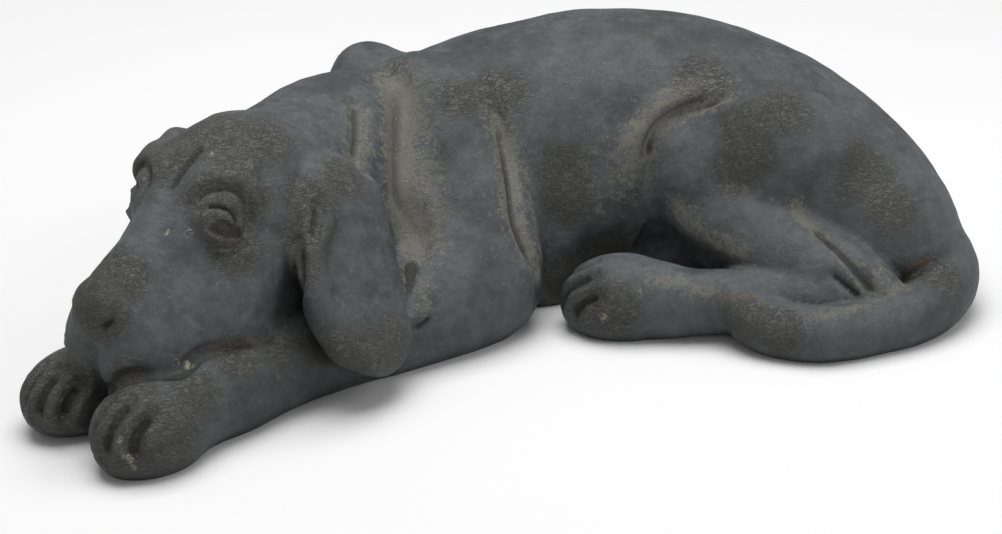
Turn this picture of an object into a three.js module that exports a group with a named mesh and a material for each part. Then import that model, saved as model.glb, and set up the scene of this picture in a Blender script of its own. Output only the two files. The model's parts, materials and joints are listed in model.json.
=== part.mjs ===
import * as THREE from "three";

// A young hound lying curled on the ground, chin on its forelegs: one solid casting.
// Every mass is written in hundredths of the body, x toward the tail, y away from the open flank,
// z up from the ground. The finished casting is scaled to LENGTH, WIDTH and HEIGHT, and its
// origin is the middle of its footprint.

const LENGTH = 650;          // mm, front of the paws to the end of the rump
const WIDTH = 335;           // mm, outer edge of the tail to the far shoulder
const HEIGHT = 175;          // mm, ground to the top of the back
const HEAD_TURN = 33;        // degrees, head turned out toward the open flank
const HEAD_DROP = 22;        // degrees, muzzle lower than the skull
const GRID = 0.85;           // spacing at which the skin is first found, own units
const FACES = 9600;          // triangles left on the finished skin
const STONE = { color: 0x4d5457, roughness: 0.82, metalness: 0 };

const degree = Math.PI / 180;
const plus = (a, b) => a.map((value, i) => value + b[i]);
const minus = (a, b) => a.map((value, i) => value - b[i]);
const times = (a, scale) => a.map(value => value * scale);
const dot = (a, b) => a[0] * b[0] + a[1] * b[1] + a[2] * b[2];
const cross = (a, b) => [
  a[1] * b[2] - a[2] * b[1],
  a[2] * b[0] - a[0] * b[2],
  a[0] * b[1] - a[1] * b[0],
];
const size = (x, y, z) => Math.sqrt(x * x + y * y + z * z);
const unit = a => times(a, 1 / size(...a));

// Three axes (along, across, up) from a turn about z, a rise and a roll, in degrees.
function axesOf(turn = 0, rise = 0, roll = 0) {
  const [cy, sy] = [Math.cos(turn * degree), Math.sin(turn * degree)];
  const [cp, sp] = [Math.cos(rise * degree), Math.sin(rise * degree)];
  const [cr, sr] = [Math.cos(roll * degree), Math.sin(roll * degree)];
  const across = [-sy, cy, 0];
  const up = [-cy * sp, -sy * sp, cp];
  return [
    [cy * cp, sy * cp, sp],
    plus(times(across, cr), times(up, sr)),
    minus(times(up, cr), times(across, sr)),
  ];
}

// Smallest of two distances with the corner between them rounded over the width "soft".
function blend(a, b, soft) {
  const near = Math.max(soft - Math.abs(a - b), 0) / soft;
  return Math.min(a, b) - near * near * soft * 0.25;
}

// A tapering limb between two points.
function limb(from, fromRadius, to, toRadius, soft = 1) {
  const [ax, ay, az] = from;
  const [bx, by, bz] = minus(to, from);
  const scale = 1 / (bx * bx + by * by + bz * bz);
  const middle = times(plus(from, to), 0.5);
  const reach = size(bx, by, bz) / 2 + Math.max(fromRadius, toRadius);
  const distance = (x, y, z) => {
    const [px, py, pz] = [x - ax, y - ay, z - az];
    const t = Math.min(1, Math.max(0, (px * bx + py * by + pz * bz) * scale));
    return size(px - t * bx, py - t * by, pz - t * bz) - fromRadius - t * (toRadius - fromRadius);
  };
  return { soft, middle, reach, distance };
}

// An egg-shaped muscle with its own axes and half sizes.
function muscle(at, [rx, ry, rz], [f, s, u] = axesOf(), soft = 1) {
  const [cx, cy, cz] = at;
  const distance = (x, y, z) => {
    const [px, py, pz] = [x - cx, y - cy, z - cz];
    const a = (px * f[0] + py * f[1] + pz * f[2]) / rx;
    const b = (px * s[0] + py * s[1] + pz * s[2]) / ry;
    const c = (px * u[0] + py * u[1] + pz * u[2]) / rz;
    const near = size(a, b, c);
    const slope = size(a / rx, b / ry, c / rz);
    return slope < 1e-9 ? -Math.min(rx, ry, rz) : near * (near - 1) / slope;
  };
  return { soft, middle: at, reach: Math.max(rx, ry, rz), distance };
}

// A smooth curve through the given rows of numbers.
function curve(rows, steps) {
  const out = [];
  for (let i = 0; i < rows.length - 1; i++) {
    const before = rows[Math.max(0, i - 1)];
    const after = rows[Math.min(rows.length - 1, i + 2)];
    for (let j = 0; j < steps; j++) {
      const t = j / steps;
      out.push(rows[i].map((here, k) => {
        const next = rows[i + 1][k];
        const bend = 2 * before[k] - 5 * here + 4 * next - after[k];
        const twist = 3 * here - before[k] - 3 * next + after[k];
        return here + 0.5 * t * (next - before[k] + t * (bend + t * twist));
      }));
    }
  }
  out.push(rows[rows.length - 1]);
  return out;
}

// Masses joined with rounded valleys; masses too far away to matter are passed over.
function join(soft, masses) {
  const low = [0, 1, 2].map(k => Math.min(...masses.map(m => m.middle[k] - m.reach)));
  const high = [0, 1, 2].map(k => Math.max(...masses.map(m => m.middle[k] + m.reach)));
  const middle = times(plus(low, high), 0.5);
  const reach = Math.max(...masses.map(m => size(...minus(m.middle, middle)) + m.reach));
  const distance = (x, y, z) => {
    let found = 1e9;
    for (const m of masses) {
      const away = size(x - m.middle[0], y - m.middle[1], z - m.middle[2]) - m.reach;
      if (away < found + m.soft) found = blend(found, m.distance(x, y, z), m.soft);
    }
    return found;
  };
  return { soft, middle, reach, distance };
}

// A run of limbs along a smooth curve; each row is x, y, z, radius.
function run(rows, soft = 1, valley = 2) {
  const all = curve(rows, 5);
  const pieces = all.slice(1).map((row, i) => {
    return limb(all[i].slice(0, 3), all[i][3], row.slice(0, 3), row[3], valley);
  });
  return join(soft, pieces);
}

// The head has its own frame: forward along the muzzle, out to the near side, up through the skull.
const turn = HEAD_TURN * degree;
const drop = HEAD_DROP * degree;
const forward = [-Math.cos(turn) * Math.cos(drop), -Math.sin(turn) * Math.cos(drop), -Math.sin(drop)];
const outward = [Math.sin(turn), -Math.cos(turn), 0];
const upward = cross(forward, outward);
const headAxes = [forward, outward, upward];
const betweenEyes = [-35.9, -6.3, 20.4];
const headWay = ([f, s, u]) => plus(plus(times(forward, f), times(outward, s)), times(upward, u));
const inHead = (f, s, u) => plus(betweenEyes, headWay([f, s, u]));
const bothSides = make => [...make(1), ...make(-1)];

const trunk = join(3, [
  run([
    [-5.9, 13.8, 11.1, 9.0], [5.2, 14, 12.6, 10.0], [17.2, 11.6, 13.6, 10.7],
    [27.2, 7.1, 13, 9.6], [35.2, -0.8, 10.4, 8.1], [41, -9.5, 5.6, 5.7],
  ], 1, 6),
  muscle([11.5, 9.8, 7.6], [13, 11.2, 9.6], axesOf(-8), 4),
  muscle([20, 3.5, 3.5], [10, 6.5, 6.5], axesOf(-30), 3),
  muscle([5.5, 4.5, 2.8], [7, 6.2, 6], axesOf(0), 3),
]);

const neck = join(3, [
  run([[...inHead(-9, 0, -5.4), 5.6], [-15.8, 9.8, 16, 7.8], [-8, 14.5, 12.6, 8.8]], 1, 3),
  limb(inHead(-8, 0, -7), 6, [-9, 8, 8.4], 8.2, 4),
  muscle([-22, 0, 2.5], [18, 8, 5], axesOf(24), 3),
]);

const farShoulder = limb([-7.8, 20.6, 20.4], 4.3, [-10, 20.5, 6.5], 5.4, 2.5);

const nearPaw = { at: [-42.6, -18, 3.3], radii: [6.9, 5.0, 4.9], axes: axesOf(28) };
const farPaw = { at: [-47.5, -8.2, 3.4], radii: [6.5, 4.6, 4.2], axes: axesOf(30) };
const hindPaw = { at: [9.7, -8.9, 3.4], radii: [6.7, 4.6, 4.8], axes: axesOf(-22) };
const pad = paw => muscle(paw.at, paw.radii, paw.axes, 2.5);

const nearForeleg = join(1, [
  run([
    [-4.8, 14, 20, 4.2], [-3.2, 9.6, 17, 5.6], [-2.7, 3.8, 10.6, 5.9], [-3.7, -1, 5.4, 5.6],
  ], 2.5, 3),
  run([
    [-3.7, -2.6, 4.6, 5.7], [-14.5, -5.9, 4.3, 4.9], [-26, -9.4, 4.1, 4.1], [-36.8, -14.4, 3.7, 4.3],
  ], 2.5, 2.5),
  muscle([-10, 3.5, 8.5], [6, 6, 6.6], axesOf(20), 3),
  pad(nearPaw),
]);

const farForeleg = join(1, [
  limb([-12, 20, 4.2], 5, [-40, -2.5, 3.7], 4, 2),
  pad(farPaw),
]);

const head = join(1.2, [
  muscle(inHead(-6.8, -0.5, -3.8), [8.2, 7.8, 6.9], headAxes, 2),
  muscle(inHead(-2.6, -0.5, -1.2), [5.8, 5.6, 4.2], headAxes, 2.5),
  limb(inHead(0, 0, -4.2), 4.6, inHead(11.6, 0, -3.6), 3.6, 3),
  limb(inHead(2, -0.3, -1.3), 2.6, inHead(12.8, 0, -1.8), 2.3, 2),
  limb(inHead(-6, 0, -10.5), 5, inHead(9, 0, -9), 3.2, 2.5),
  ...bothSides(side => [
    muscle(inHead(9.8, 2.3 * side, -7.4), [7.5, 4.2, 5.4], headAxes, 1.8),
    muscle(inHead(2.8, 4.7 * side, -9.4), [7, 4.2, 6.2], headAxes, 2.5),
    muscle(inHead(-3.6, 4.8 * side, -8.6), [7.6, 4.6, 6.6], headAxes, 2.5),
    muscle(inHead(-1.5, 3.9 * side, -0.3), [3.4, 2.4, 1.8], headAxes, 2.5),
  ]),
]);
const nose = muscle(inHead(13.1, 0, -2.3), [2.3, 2.7, 2], headAxes, 1.6);

// Eyes: a ball under two lids, each lid a shell cut by a plane through the corners of the eye.
const eye = {
  at: [0.4, 4.9, -1.4],
  ball: 1.75,
  lid: 2.15,
  upper: 24,               // degrees that each lid stands open
  lower: 29,
  crease: [2.3, 1.7],      // half width and half height of the upper lid's line
  creaseTurns: [175, 0],   // degrees round the eye where it runs
  fold: [3.3, 3.7],        // half width and half height of the fold over the lid
  foldTurns: [205, -10],
  brow: [4.5, 4.9],        // half width and half height of the brow's ridge
  browTurns: [190, 0],
};
const eyeAcross = [-0.215, 0.842, -0.495];
const eyeGaze = [0.541, 0.524, 0.658];
const eyeUp = [-0.813, 0.127, 0.568];
const mirrored = ([f, s, u], side) => [f, s * side, u];

function lid(side, open, sign) {
  const at = inHead(...mirrored(eye.at, side));
  const up = times(headWay(mirrored(eyeUp, side)), sign * Math.cos(open * degree));
  const back = times(headWay(mirrored(eyeGaze, side)), Math.sin(open * degree));
  const away = minus(up, back);
  const shell = muscle(at, [eye.lid, eye.lid, eye.lid], headAxes, 0.3);
  const distance = (x, y, z) => {
    const below = -dot([x - at[0], y - at[1], z - at[2]], away);
    return -blend(-shell.distance(x, y, z), -below, 0.25);
  };
  return { ...shell, distance };
}
const eyeballs = join(0.15, bothSides(side => {
  return [muscle(inHead(...mirrored(eye.at, side)), [eye.ball, eye.ball, eye.ball], headAxes, 0.1)];
}));
const lids = join(0.4, bothSides(side => [lid(side, eye.upper, 1), lid(side, eye.lower, -1)]));

// Points of an arc round the eye, from one angle to another, "out" toward the gaze.
function eyeArc(side, [wide, high], [from, to], out) {
  return Array.from({ length: 7 }, (_, i) => {
    const t = (from + (to - from) * i / 6) * degree;
    const lift = plus(times(eyeAcross, wide * Math.cos(t)), times(eyeUp, high * Math.sin(t)));
    return inHead(...mirrored(plus(plus(eye.at, lift), times(eyeGaze, out)), side));
  });
}

// The near ear hangs over the cheek and the foreleg; its axes run down, across and out of the flap.
const earDown = unit([0.08, -0.56, -0.83]);
const earOut = unit(cross(earDown, [0.84, 0.45, -0.28]));
const earAxes = [earDown, cross(earOut, earDown), earOut];
const nearEar = join(0.8, [
  muscle([-19.8, -8.2, 14.6], [8.8, 5.6, 2.6], earAxes, 1.5),
  muscle([-19.8, -12.8, 8.6], [6.4, 6.2, 2.3], earAxes, 1.5),
  muscle([-19.4, -5.2, 17.8], [3.6, 4.8, 2.4], earAxes, 1.5),
  run([
    [-22.9, -5.4, 20.6, 1.6], [-24.2, -9.2, 18, 1.6], [-25.2, -12.8, 14.3, 1.5],
    [-25, -15.2, 10.3, 1.5], [-22.8, -15.4, 6.2, 1.4],
  ], 1.2, 0.5),
]);
const farEar = join(1, [
  muscle(inHead(-7.5, -7.6, -7.6), [3.8, 2.2, 8.5], headAxes, 1),
  muscle(inHead(-4.6, -7.4, -1.4), [2.6, 1.8, 2.8], headAxes, 1),
]);

const thigh = join(1.2, [
  muscle([28.2, -5, 13.6], [11.6, 6.6, 10], axesOf(-34), 2),
  muscle([39, -11, 7.2], [8.7, 7.8, 7.9], axesOf(-45), 3),
  muscle([21.4, -2.4, 13.2], [5.8, 5.4, 6], axesOf(-40), 2),
]);
const shin = run([[22, -3.4, 10.8, 5], [27, -11, 6.6, 4.8], [33, -18, 4.2, 3.4]], 0.8, 2);
const hindFoot = join(0.7, [
  limb([34, -19.3, 3.6], 3.2, [15, -12.1, 3.5], 3.5, 1.5),
  pad(hindPaw),
]);
const tail = run([
  [42.5, -10.6, 6, 4.9], [44, -16, 3.8, 3.6], [40.4, -20.4, 2.6, 2.7], [34.6, -22.5, 2.3, 2.4],
  [26.2, -22.5, 2.3, 2.4], [20.9, -18.8, 2.8, 2.2], [18.7, -14.4, 5.2, 1.5],
], 0.6, 1.5);

const body = join(0, [
  trunk, neck, farShoulder, farForeleg, nearForeleg, head, eyeballs, lids,
  nose, nearEar, farEar, thigh, shin, hindFoot, tail,
]);

const SLOPE_STEP = 0.02;             // own units, for the slope of the skin

// A point moved onto the skin of the joined masses, down their slope.
function onSkin(point) {
  let found = point;
  for (let i = 0; i < 5; i++) {
    const here = body.distance(...found);
    const slope = found.map((_, k) => {
      const beside = found.map((value, j) => value + (j === k ? SLOPE_STEP : 0));
      return (body.distance(...beside) - here) / SLOPE_STEP;
    });
    found = minus(found, times(slope, here / Math.max(dot(slope, slope), 0.2)));
  }
  return found;
}

// A line carved into the skin along a curve: depth above zero cuts, below zero raises; it fades at
// both ends.
function stroke(points, width, depth) {
  const rows = curve(points, 4).map(onSkin);
  const low = [0, 1, 2].map(k => Math.min(...rows.map(p => p[k])) - 2.5 * width);
  const high = [0, 1, 2].map(k => Math.max(...rows.map(p => p[k])) + 2.5 * width);
  return (x, y, z) => {
    if (x < low[0] || y < low[1] || z < low[2]) return 0;
    if (x > high[0] || y > high[1] || z > high[2]) return 0;
    let nearest = 1e9;
    let share = 0;
    for (let i = 0; i < rows.length - 1; i++) {
      const [ax, ay, az] = rows[i];
      const [bx, by, bz] = [rows[i + 1][0] - ax, rows[i + 1][1] - ay, rows[i + 1][2] - az];
      const [px, py, pz] = [x - ax, y - ay, z - az];
      const along = (px * bx + py * by + pz * bz) / (bx * bx + by * by + bz * bz);
      const t = Math.min(1, Math.max(0, along));
      const away = size(px - t * bx, py - t * by, pz - t * bz);
      if (away < nearest) {
        nearest = away;
        share = (i + t) / (rows.length - 1);
      }
    }
    const fade = Math.min(1, 4 * share + 0.05, 4 * (1 - share) + 0.05);
    return depth * fade * Math.exp(-((nearest / width) ** 2));
  };
}

const TOE_ARC = [70, 42, 14, -16];   // degrees, from the top of the pad down to the ground

// Grooves between the toes, one for each share of the pad's width.
function toes(paw, shares, roll, width, depth) {
  const [back, across, up] = axesOf(Math.atan2(paw.axes[0][1], paw.axes[0][0]) / degree, 0, roll);
  const [long, wide, high] = paw.radii;
  return shares.map(share => {
    const rest = Math.sqrt(1 - share * share);
    const points = TOE_ARC.map(angle => {
      const reach = times(back, -long * rest * Math.cos(angle * degree));
      const rise = times(up, high * rest * Math.sin(angle * degree));
      return plus(plus(paw.at, times(across, share * wide)), plus(reach, rise));
    });
    return stroke(points, width, depth);
  });
}

const carving = [
  ...toes(nearPaw, [-0.62, -0.12, 0.42], 0, 0.72, 1.9),
  ...toes(farPaw, [-0.7, -0.2, 0.34], 0, 0.7, 1.8),
  ...toes(hindPaw, [-0.6, -0.12, 0.4], 22, 0.66, 1.8),
  ...bothSides(side => [
    // fold over the lid, the brow outside it and the line of the upper lid
    stroke(eyeArc(side, eye.fold, eye.foldTurns, 0.8), 0.55, 0.6),
    stroke(eyeArc(side, eye.brow, eye.browTurns, 0.3), 0.8, -0.45),
    stroke(eyeArc(side, eye.crease, eye.creaseTurns, 1.6), 0.3, 0.4),
    // nostril, crease behind the eye and hollow of the temple
    stroke([
      inHead(15, 1.4 * side, -2.3), inHead(14.6, 2.1 * side, -1.9), inHead(13.9, 2.5 * side, -1.6),
    ], 0.4, 0.6),
    stroke([
      inHead(-0.1, 7.3 * side, -3.2), inHead(-1.7, 7.8 * side, -3.4), inHead(-3.8, 8.7 * side, -4.6),
    ], 0.8, 0.2),
    stroke([
      inHead(-10, 3.3 * side, 1.1), inHead(-7.6, 4.8 * side, 0.4), inHead(-5.1, 6 * side, -0.4),
    ], 1.2, 0.2),
    // rim of the nose
    stroke([
      inHead(12, 1.9 * side, 0.3), inHead(11.8, 2.9 * side, -0.8), inHead(12.7, 3.3 * side, -2.1),
      inHead(14.6, 2.2 * side, -3.4),
    ], 0.5, 0.25),
  ]),
  // middle line of the upper lip and of the forehead
  stroke([inHead(16, 0, -3.6), inHead(17, 0, -6), inHead(17, 0, -9)], 0.5, 0.45),
  stroke([inHead(2, 0, 1.2), inHead(-2, 0, 2.2), inHead(-6, 0, 2)], 0.9, 0.35),
  // line of the mouth, where the lip lies on the foreleg
  stroke([
    [-46, -12, 5.4], [-44.8, -15.7, 6.9], [-42.3, -17.6, 7.9], [-39.7, -17.1, 7.8], [-37, -15, 7.6],
    [-33.2, -14.7, 8.2], [-30.1, -14.3, 8.4], [-26.8, -13.4, 8.4],
  ], 0.55, 1.1),
  // folds of skin before and behind the shoulder
  stroke([
    [-7.1, 17.2, 23.5], [-8.8, 8, 22.4], [-11.3, 0.2, 16.6], [-10.8, -2.3, 11.9], [-12.3, -8, 9],
  ], 1.3, 1.5),
  stroke([[-14.6, 6.4, 23.7], [-15.8, 0.6, 21.5], [-17.1, -5.7, 19.7]], 1.0, 0.8),
  stroke([[0.8, 6, 22.7], [0.4, 1.2, 16.9], [-0.8, -3.7, 11], [0.2, -5.6, 4.2]], 0.8, 1.4),
  // fold of the flank, and the crease between it and the thigh
  stroke([
    [27, -0.8, 24], [19.4, -1.5, 22.1], [15.8, -2, 20], [13.2, -2.2, 16.8], [12.8, -2.2, 9],
  ], 1.1, -0.8),
  stroke([
    [26.6, -5.8, 23.4], [21.6, -3, 21.8], [17.4, -2.4, 20.3], [15.5, -2.8, 17.6], [15.1, -3, 11.5],
  ], 0.8, 1.1),
  // hollow between the belly and the hind foot
  stroke([[14.6, -3, 7], [17, -3, 6.2], [18.6, -6.4, 6.8]], 1.6, 2.2),
  // the two lines that part the ham from the hock
  stroke([
    [26.8, -11.4, 14], [28.2, -13.4, 12.4], [29.9, -16.4, 9.9], [31.8, -20.7, 6.8],
    [33.4, -23, 5.2],
  ], 0.8, 0.9),
  stroke([[28.6, -18.6, 7.4], [29.7, -20.2, 6.4], [31.3, -22.6, 5]], 0.5, 0.45),
  // crease between the ear and the elbow
  stroke([[-12.4, -4.4, 10.8], [-13.8, -9.6, 9.3], [-14.7, -12.4, 6.8]], 0.7, 1.1),
  stroke([[-14.4, -12.4, 6.4], [-13.5, -12.2, 5.6], [-11.7, -11.1, 6.8]], 0.5, 0.6),
  // rolled root of the ear, the hollow inside it and the crease down its front edge
  stroke([
    [-24.8, -8.6, 20.6], [-23.6, -8.2, 21], [-22.5, -8.6, 20.6], [-22, -9.6, 19.6], [-22.3, -11, 18.4],
    [-23.4, -12.3, 17.4], [-24.8, -13.5, 16.4],
  ], 0.7, -0.6),
  stroke([[-24.1, -9.4, 19.8], [-23.8, -10.4, 19], [-24.4, -11.5, 18], [-25.4, -12.8, 16.4]], 0.7, 0.7),
  stroke([[-25.9, -11.2, 17.5], [-26.6, -13.2, 15], [-26.8, -13.8, 12.4], [-26.2, -13, 9.4]], 0.6, 0.9),
];

// Distance to the skin of the dog, cut flat at the ground.
function skin(x, y, z) {
  let distance = body.distance(x, y, z);
  if (Math.abs(distance) < 3) {
    for (const line of carving) distance += line(x, y, z);
  }
  return Math.max(distance, -z);
}

// The skin as triangles: each cell of a grid is split into six tetrahedra, and the skin crosses each
// of them in one or two triangles. Cells far from the skin are passed over in blocks.
function triangulate(distance, low, high, step) {
  const block = 4;
  const cells = low.map((value, k) => block * Math.ceil((high[k] - value) / step / block));
  const [nx, ny, nz] = cells.map(count => count + 1);
  const values = new Float32Array(nx * ny * nz).fill(NaN);
  const place = (i, j, k) => (k * ny + j) * nx + i;
  const where = id => {
    const i = id % nx;
    const j = Math.floor(id / nx) % ny;
    const k = Math.floor(id / (nx * ny));
    return [low[0] + i * step, low[1] + j * step, low[2] + k * step];
  };
  const valueAt = id => {
    if (Number.isNaN(values[id])) {
      const value = distance(...where(id));
      values[id] = Math.abs(value) < 1e-4 ? 1e-4 : value;
    }
    return values[id];
  };
  const corner = [0, 1, 2, 3, 4, 5, 6, 7].map(c => place(c & 1, (c >> 1) & 1, c >> 2));
  const splits = [[1, 3], [1, 5], [2, 3], [2, 6], [4, 5], [4, 6]].map(pair => [0, ...pair, 7]);
  const points = [];
  const faces = [];
  const known = new Map();
  const crossing = (a, b) => {
    const key = Math.min(a, b) * nx * ny * nz + Math.max(a, b);
    if (!known.has(key)) {
      const t = valueAt(a) / (valueAt(a) - valueAt(b));
      const [p, q] = [where(a), where(b)];
      known.set(key, points.length);
      points.push(p.map((value, i) => value + t * (q[i] - value)));
    }
    return known.get(key);
  };
  const addFace = (a, b, c, outside) => {
    const normal = cross(minus(points[b], points[a]), minus(points[c], points[a]));
    faces.push(dot(normal, minus(outside, points[a])) > 0 ? [a, b, c] : [a, c, b]);
  };
  const splitCell = base => {
    for (const split of splits) {
      const ids = split.map(c => base + corner[c]);
      const inside = ids.filter(id => valueAt(id) < 0);
      const outer = ids.filter(id => valueAt(id) > 0);
      if (!inside.length || !outer.length) continue;
      const outside = where(outer[0]);
      if (inside.length === 1) addFace(...outer.map(id => crossing(inside[0], id)), outside);
      if (outer.length === 1) addFace(...inside.map(id => crossing(id, outer[0])), outside);
      if (inside.length === 2) {
        const [a, b] = outer.map(id => crossing(inside[0], id));
        const [c, d] = outer.map(id => crossing(inside[1], id));
        addFace(a, b, c, outside);
        addFace(b, c, d, outside);
      }
    }
  };
  const blockReach = block * step * 0.5 * Math.sqrt(3) + 1.5;
  for (let k = 0; k < cells[2]; k += block) {
    for (let j = 0; j < cells[1]; j += block) {
      for (let i = 0; i < cells[0]; i += block) {
        const half = block * step / 2;
        const origin = where(place(i, j, k));
        if (Math.abs(distance(...origin.map(value => value + half))) > blockReach) continue;
        for (let n = 0; n < block ** 3; n++) {
          const [di, dj, dk] = [n % block, Math.floor(n / block) % block, Math.floor(n / block / block)];
          splitCell(place(i + di, j + dj, k + dk));
        }
      }
    }
  }
  return { points, faces };
}

// Keeps the outer shell only: the connected set of faces that holds the most of them.
function outerShell({ points, faces }) {
  const parent = points.map((_, i) => i);
  const root = i => {
    while (parent[i] !== i) {
      parent[i] = parent[parent[i]];
      i = parent[i];
    }
    return i;
  };
  for (const [a, b, c] of faces) {
    parent[root(a)] = root(b);
    parent[root(b)] = root(c);
  }
  const count = new Map();
  for (const face of faces) count.set(root(face[0]), (count.get(root(face[0])) || 0) + 1);
  const main = [...count].sort((a, b) => b[1] - a[1])[0][0];
  return { points, faces: faces.filter(face => root(face[0]) === main) };
}

// How much an error matters at a point: more on the face, where the carving is finest.
function care(point) {
  const away = size(...minus(point, inHead(4, 1, -2)));
  return 1 + 9 * Math.exp(-((away / 11) ** 2));
}

// Joins the ends of edges, the ones that change the shape least first, until "wanted" faces are left.
// Each point carries the sum of the squared distances to the planes it has stood for.
function simplify({ points, faces }, wanted) {
  const x = Float64Array.from(points, p => p[0]);
  const y = Float64Array.from(points, p => p[1]);
  const z = Float64Array.from(points, p => p[2]);
  const terms = 10;
  const quadric = new Float64Array(terms * points.length);
  const around = points.map(() => []);
  const version = new Int32Array(points.length);
  const face = Int32Array.from(faces.flat());
  const alive = new Uint8Array(faces.length).fill(1);
  const normal = [0, 0, 0];
  const setNormal = (ax, ay, az, bx, by, bz, cx, cy, cz) => {
    normal[0] = (by - ay) * (cz - az) - (bz - az) * (cy - ay);
    normal[1] = (bz - az) * (cx - ax) - (bx - ax) * (cz - az);
    normal[2] = (bx - ax) * (cy - ay) - (by - ay) * (cx - ax);
    return size(normal[0], normal[1], normal[2]);
  };
  for (let id = 0; id < faces.length; id++) {
    const [a, b, c] = faces[id];
    const area = setNormal(x[a], y[a], z[a], x[b], y[b], z[b], x[c], y[c], z[c]);
    around[a].push(id);
    around[b].push(id);
    around[c].push(id);
    if (area < 1e-9) continue;
    const [nx, ny, nz] = [normal[0] / area, normal[1] / area, normal[2] / area];
    const nw = -(nx * x[a] + ny * y[a] + nz * z[a]);
    const weight = area * care([x[a], y[a], z[a]]);
    const plane = [
      nx * nx, nx * ny, nx * nz, nx * nw, ny * ny, ny * nz, ny * nw, nz * nz, nz * nw, nw * nw,
    ];
    for (const i of faces[id]) {
      for (let k = 0; k < terms; k++) quadric[terms * i + k] += plane[k] * weight;
    }
  }

  // the best place for the joined point, and what joining there costs
  const best = { x: 0, y: 0, z: 0, cost: 0 };
  const sum = new Float64Array(terms);
  const place = (a, b) => {
    for (let k = 0; k < terms; k++) sum[k] = quadric[terms * a + k] + quadric[terms * b + k];
    const [q0, q1, q2, q3, q4, q5, q6, q7, q8, q9] = sum;
    const spread = size(x[a] - x[b], y[a] - y[b], z[a] - z[b]);
    best.x = (x[a] + x[b]) / 2;
    best.y = (y[a] + y[b]) / 2;
    best.z = (z[a] + z[b]) / 2;
    const c0 = q4 * q7 - q5 * q5;
    const c1 = q2 * q5 - q1 * q7;
    const c2 = q1 * q5 - q2 * q4;
    const det = q0 * c0 + q1 * c1 + q2 * c2;
    if (Math.abs(det) > 1e-4 * (q0 + q4 + q7) ** 3) {
      const sx = -(c0 * q3 + c1 * q6 + c2 * q8) / det;
      const sy = -(c1 * q3 + (q0 * q7 - q2 * q2) * q6 + (q1 * q2 - q0 * q5) * q8) / det;
      const sz = -(c2 * q3 + (q1 * q2 - q0 * q5) * q6 + (q0 * q4 - q1 * q1) * q8) / det;
      const away = size(sx - best.x, sy - best.y, sz - best.z);
      if (away < 1.5 * spread) Object.assign(best, { x: sx, y: sy, z: sz });
    }
    if (z[a] === 0 && z[b] === 0) best.z = 0;
    else if (z[a] === 0) Object.assign(best, { x: x[a], y: y[a], z: 0 });
    else if (z[b] === 0) Object.assign(best, { x: x[b], y: y[b], z: 0 });
    else best.z = Math.max(best.z, 0.02);
    const { x: px, y: py, z: pz } = best;
    const error = px * (q0 * px + 2 * (q1 * py + q2 * pz + q3)) + py * (q4 * py + 2 * (q5 * pz + q6))
      + pz * (q7 * pz + 2 * q8) + q9;
    best.cost = Math.max(error, 0) + 1e-4 * spread * spread;
  };

  // a heap of edges, cheapest first
  const heap = [];
  const push = item => {
    let i = heap.push(item) - 1;
    while (i > 0) {
      const above = (i - 1) >> 1;
      if (heap[above].cost <= item.cost) break;
      heap[i] = heap[above];
      i = above;
    }
    heap[i] = item;
  };
  const pop = () => {
    const top = heap[0];
    const last = heap.pop();
    let i = 0;
    while (2 * i + 1 < heap.length) {
      let below = 2 * i + 1;
      if (below + 1 < heap.length && heap[below + 1].cost < heap[below].cost) below++;
      if (heap[below].cost >= last.cost) break;
      heap[i] = heap[below];
      i = below;
    }
    if (heap.length) heap[i] = last;
    return top;
  };
  const consider = (a, b) => {
    place(a, b);
    push({ a, b, cost: best.cost, stamp: version[a] + version[b] });
  };
  const neighbours = i => {
    const found = [];
    for (const id of around[i]) {
      for (let k = 3 * id; k < 3 * id + 3; k++) {
        if (face[k] !== i && !found.includes(face[k])) found.push(face[k]);
      }
    }
    return found;
  };
  // true when moving point i to the best place folds a face over or draws it out to a sliver
  const spoils = (i, other) => {
    for (const id of around[i]) {
      const [a, b, c] = [face[3 * id], face[3 * id + 1], face[3 * id + 2]];
      if (a === other || b === other || c === other) continue;
      const [j, k] = a === i ? [b, c] : b === i ? [c, a] : [a, b];
      const before = setNormal(x[i], y[i], z[i], x[j], y[j], z[j], x[k], y[k], z[k]);
      const [ox, oy, oz] = normal;
      const after = setNormal(best.x, best.y, best.z, x[j], y[j], z[j], x[k], y[k], z[k]);
      if (ox * normal[0] + oy * normal[1] + oz * normal[2] < 0.3 * before * after) return true;
      const edge = size(x[j] - x[k], y[j] - y[k], z[j] - z[k]);
      const longest = (px, py, pz) => {
        const [first, second] = [j, k].map(other => size(px - x[other], py - y[other], pz - z[other]));
        return Math.max(edge, first, second);
      };
      const now = longest(best.x, best.y, best.z);
      const was = longest(x[i], y[i], z[i]);
      if (after < 0.1 * now * now && after * was * was < 0.9 * before * now * now) return true;
    }
    return false;
  };
  for (let i = 0; i < points.length; i++) {
    for (const other of neighbours(i)) if (i < other) consider(i, other);
  }
  let left = faces.length;
  while (left > wanted && heap.length) {
    const { a, b, stamp } = pop();
    if (!around[a] || !around[b] || stamp !== version[a] + version[b]) continue;
    const [aroundA, aroundB] = [neighbours(a), neighbours(b)];
    if (!aroundA.includes(b)) continue;
    if (aroundA.filter(i => aroundB.includes(i)).length !== 2) continue;
    place(a, b);
    if (spoils(a, b) || spoils(b, a)) continue;
    for (const id of around[b]) {
      const corners = [face[3 * id], face[3 * id + 1], face[3 * id + 2]];
      if (corners.includes(a)) {
        for (const i of corners) if (i !== b) around[i] = around[i].filter(other => other !== id);
        alive[id] = 0;
        left--;
      } else {
        face[3 * id + corners.indexOf(b)] = a;
        around[a].push(id);
      }
    }
    around[b] = null;
    [x[a], y[a], z[a]] = [best.x, best.y, best.z];
    for (let k = 0; k < terms; k++) quadric[terms * a + k] += quadric[terms * b + k];
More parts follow.
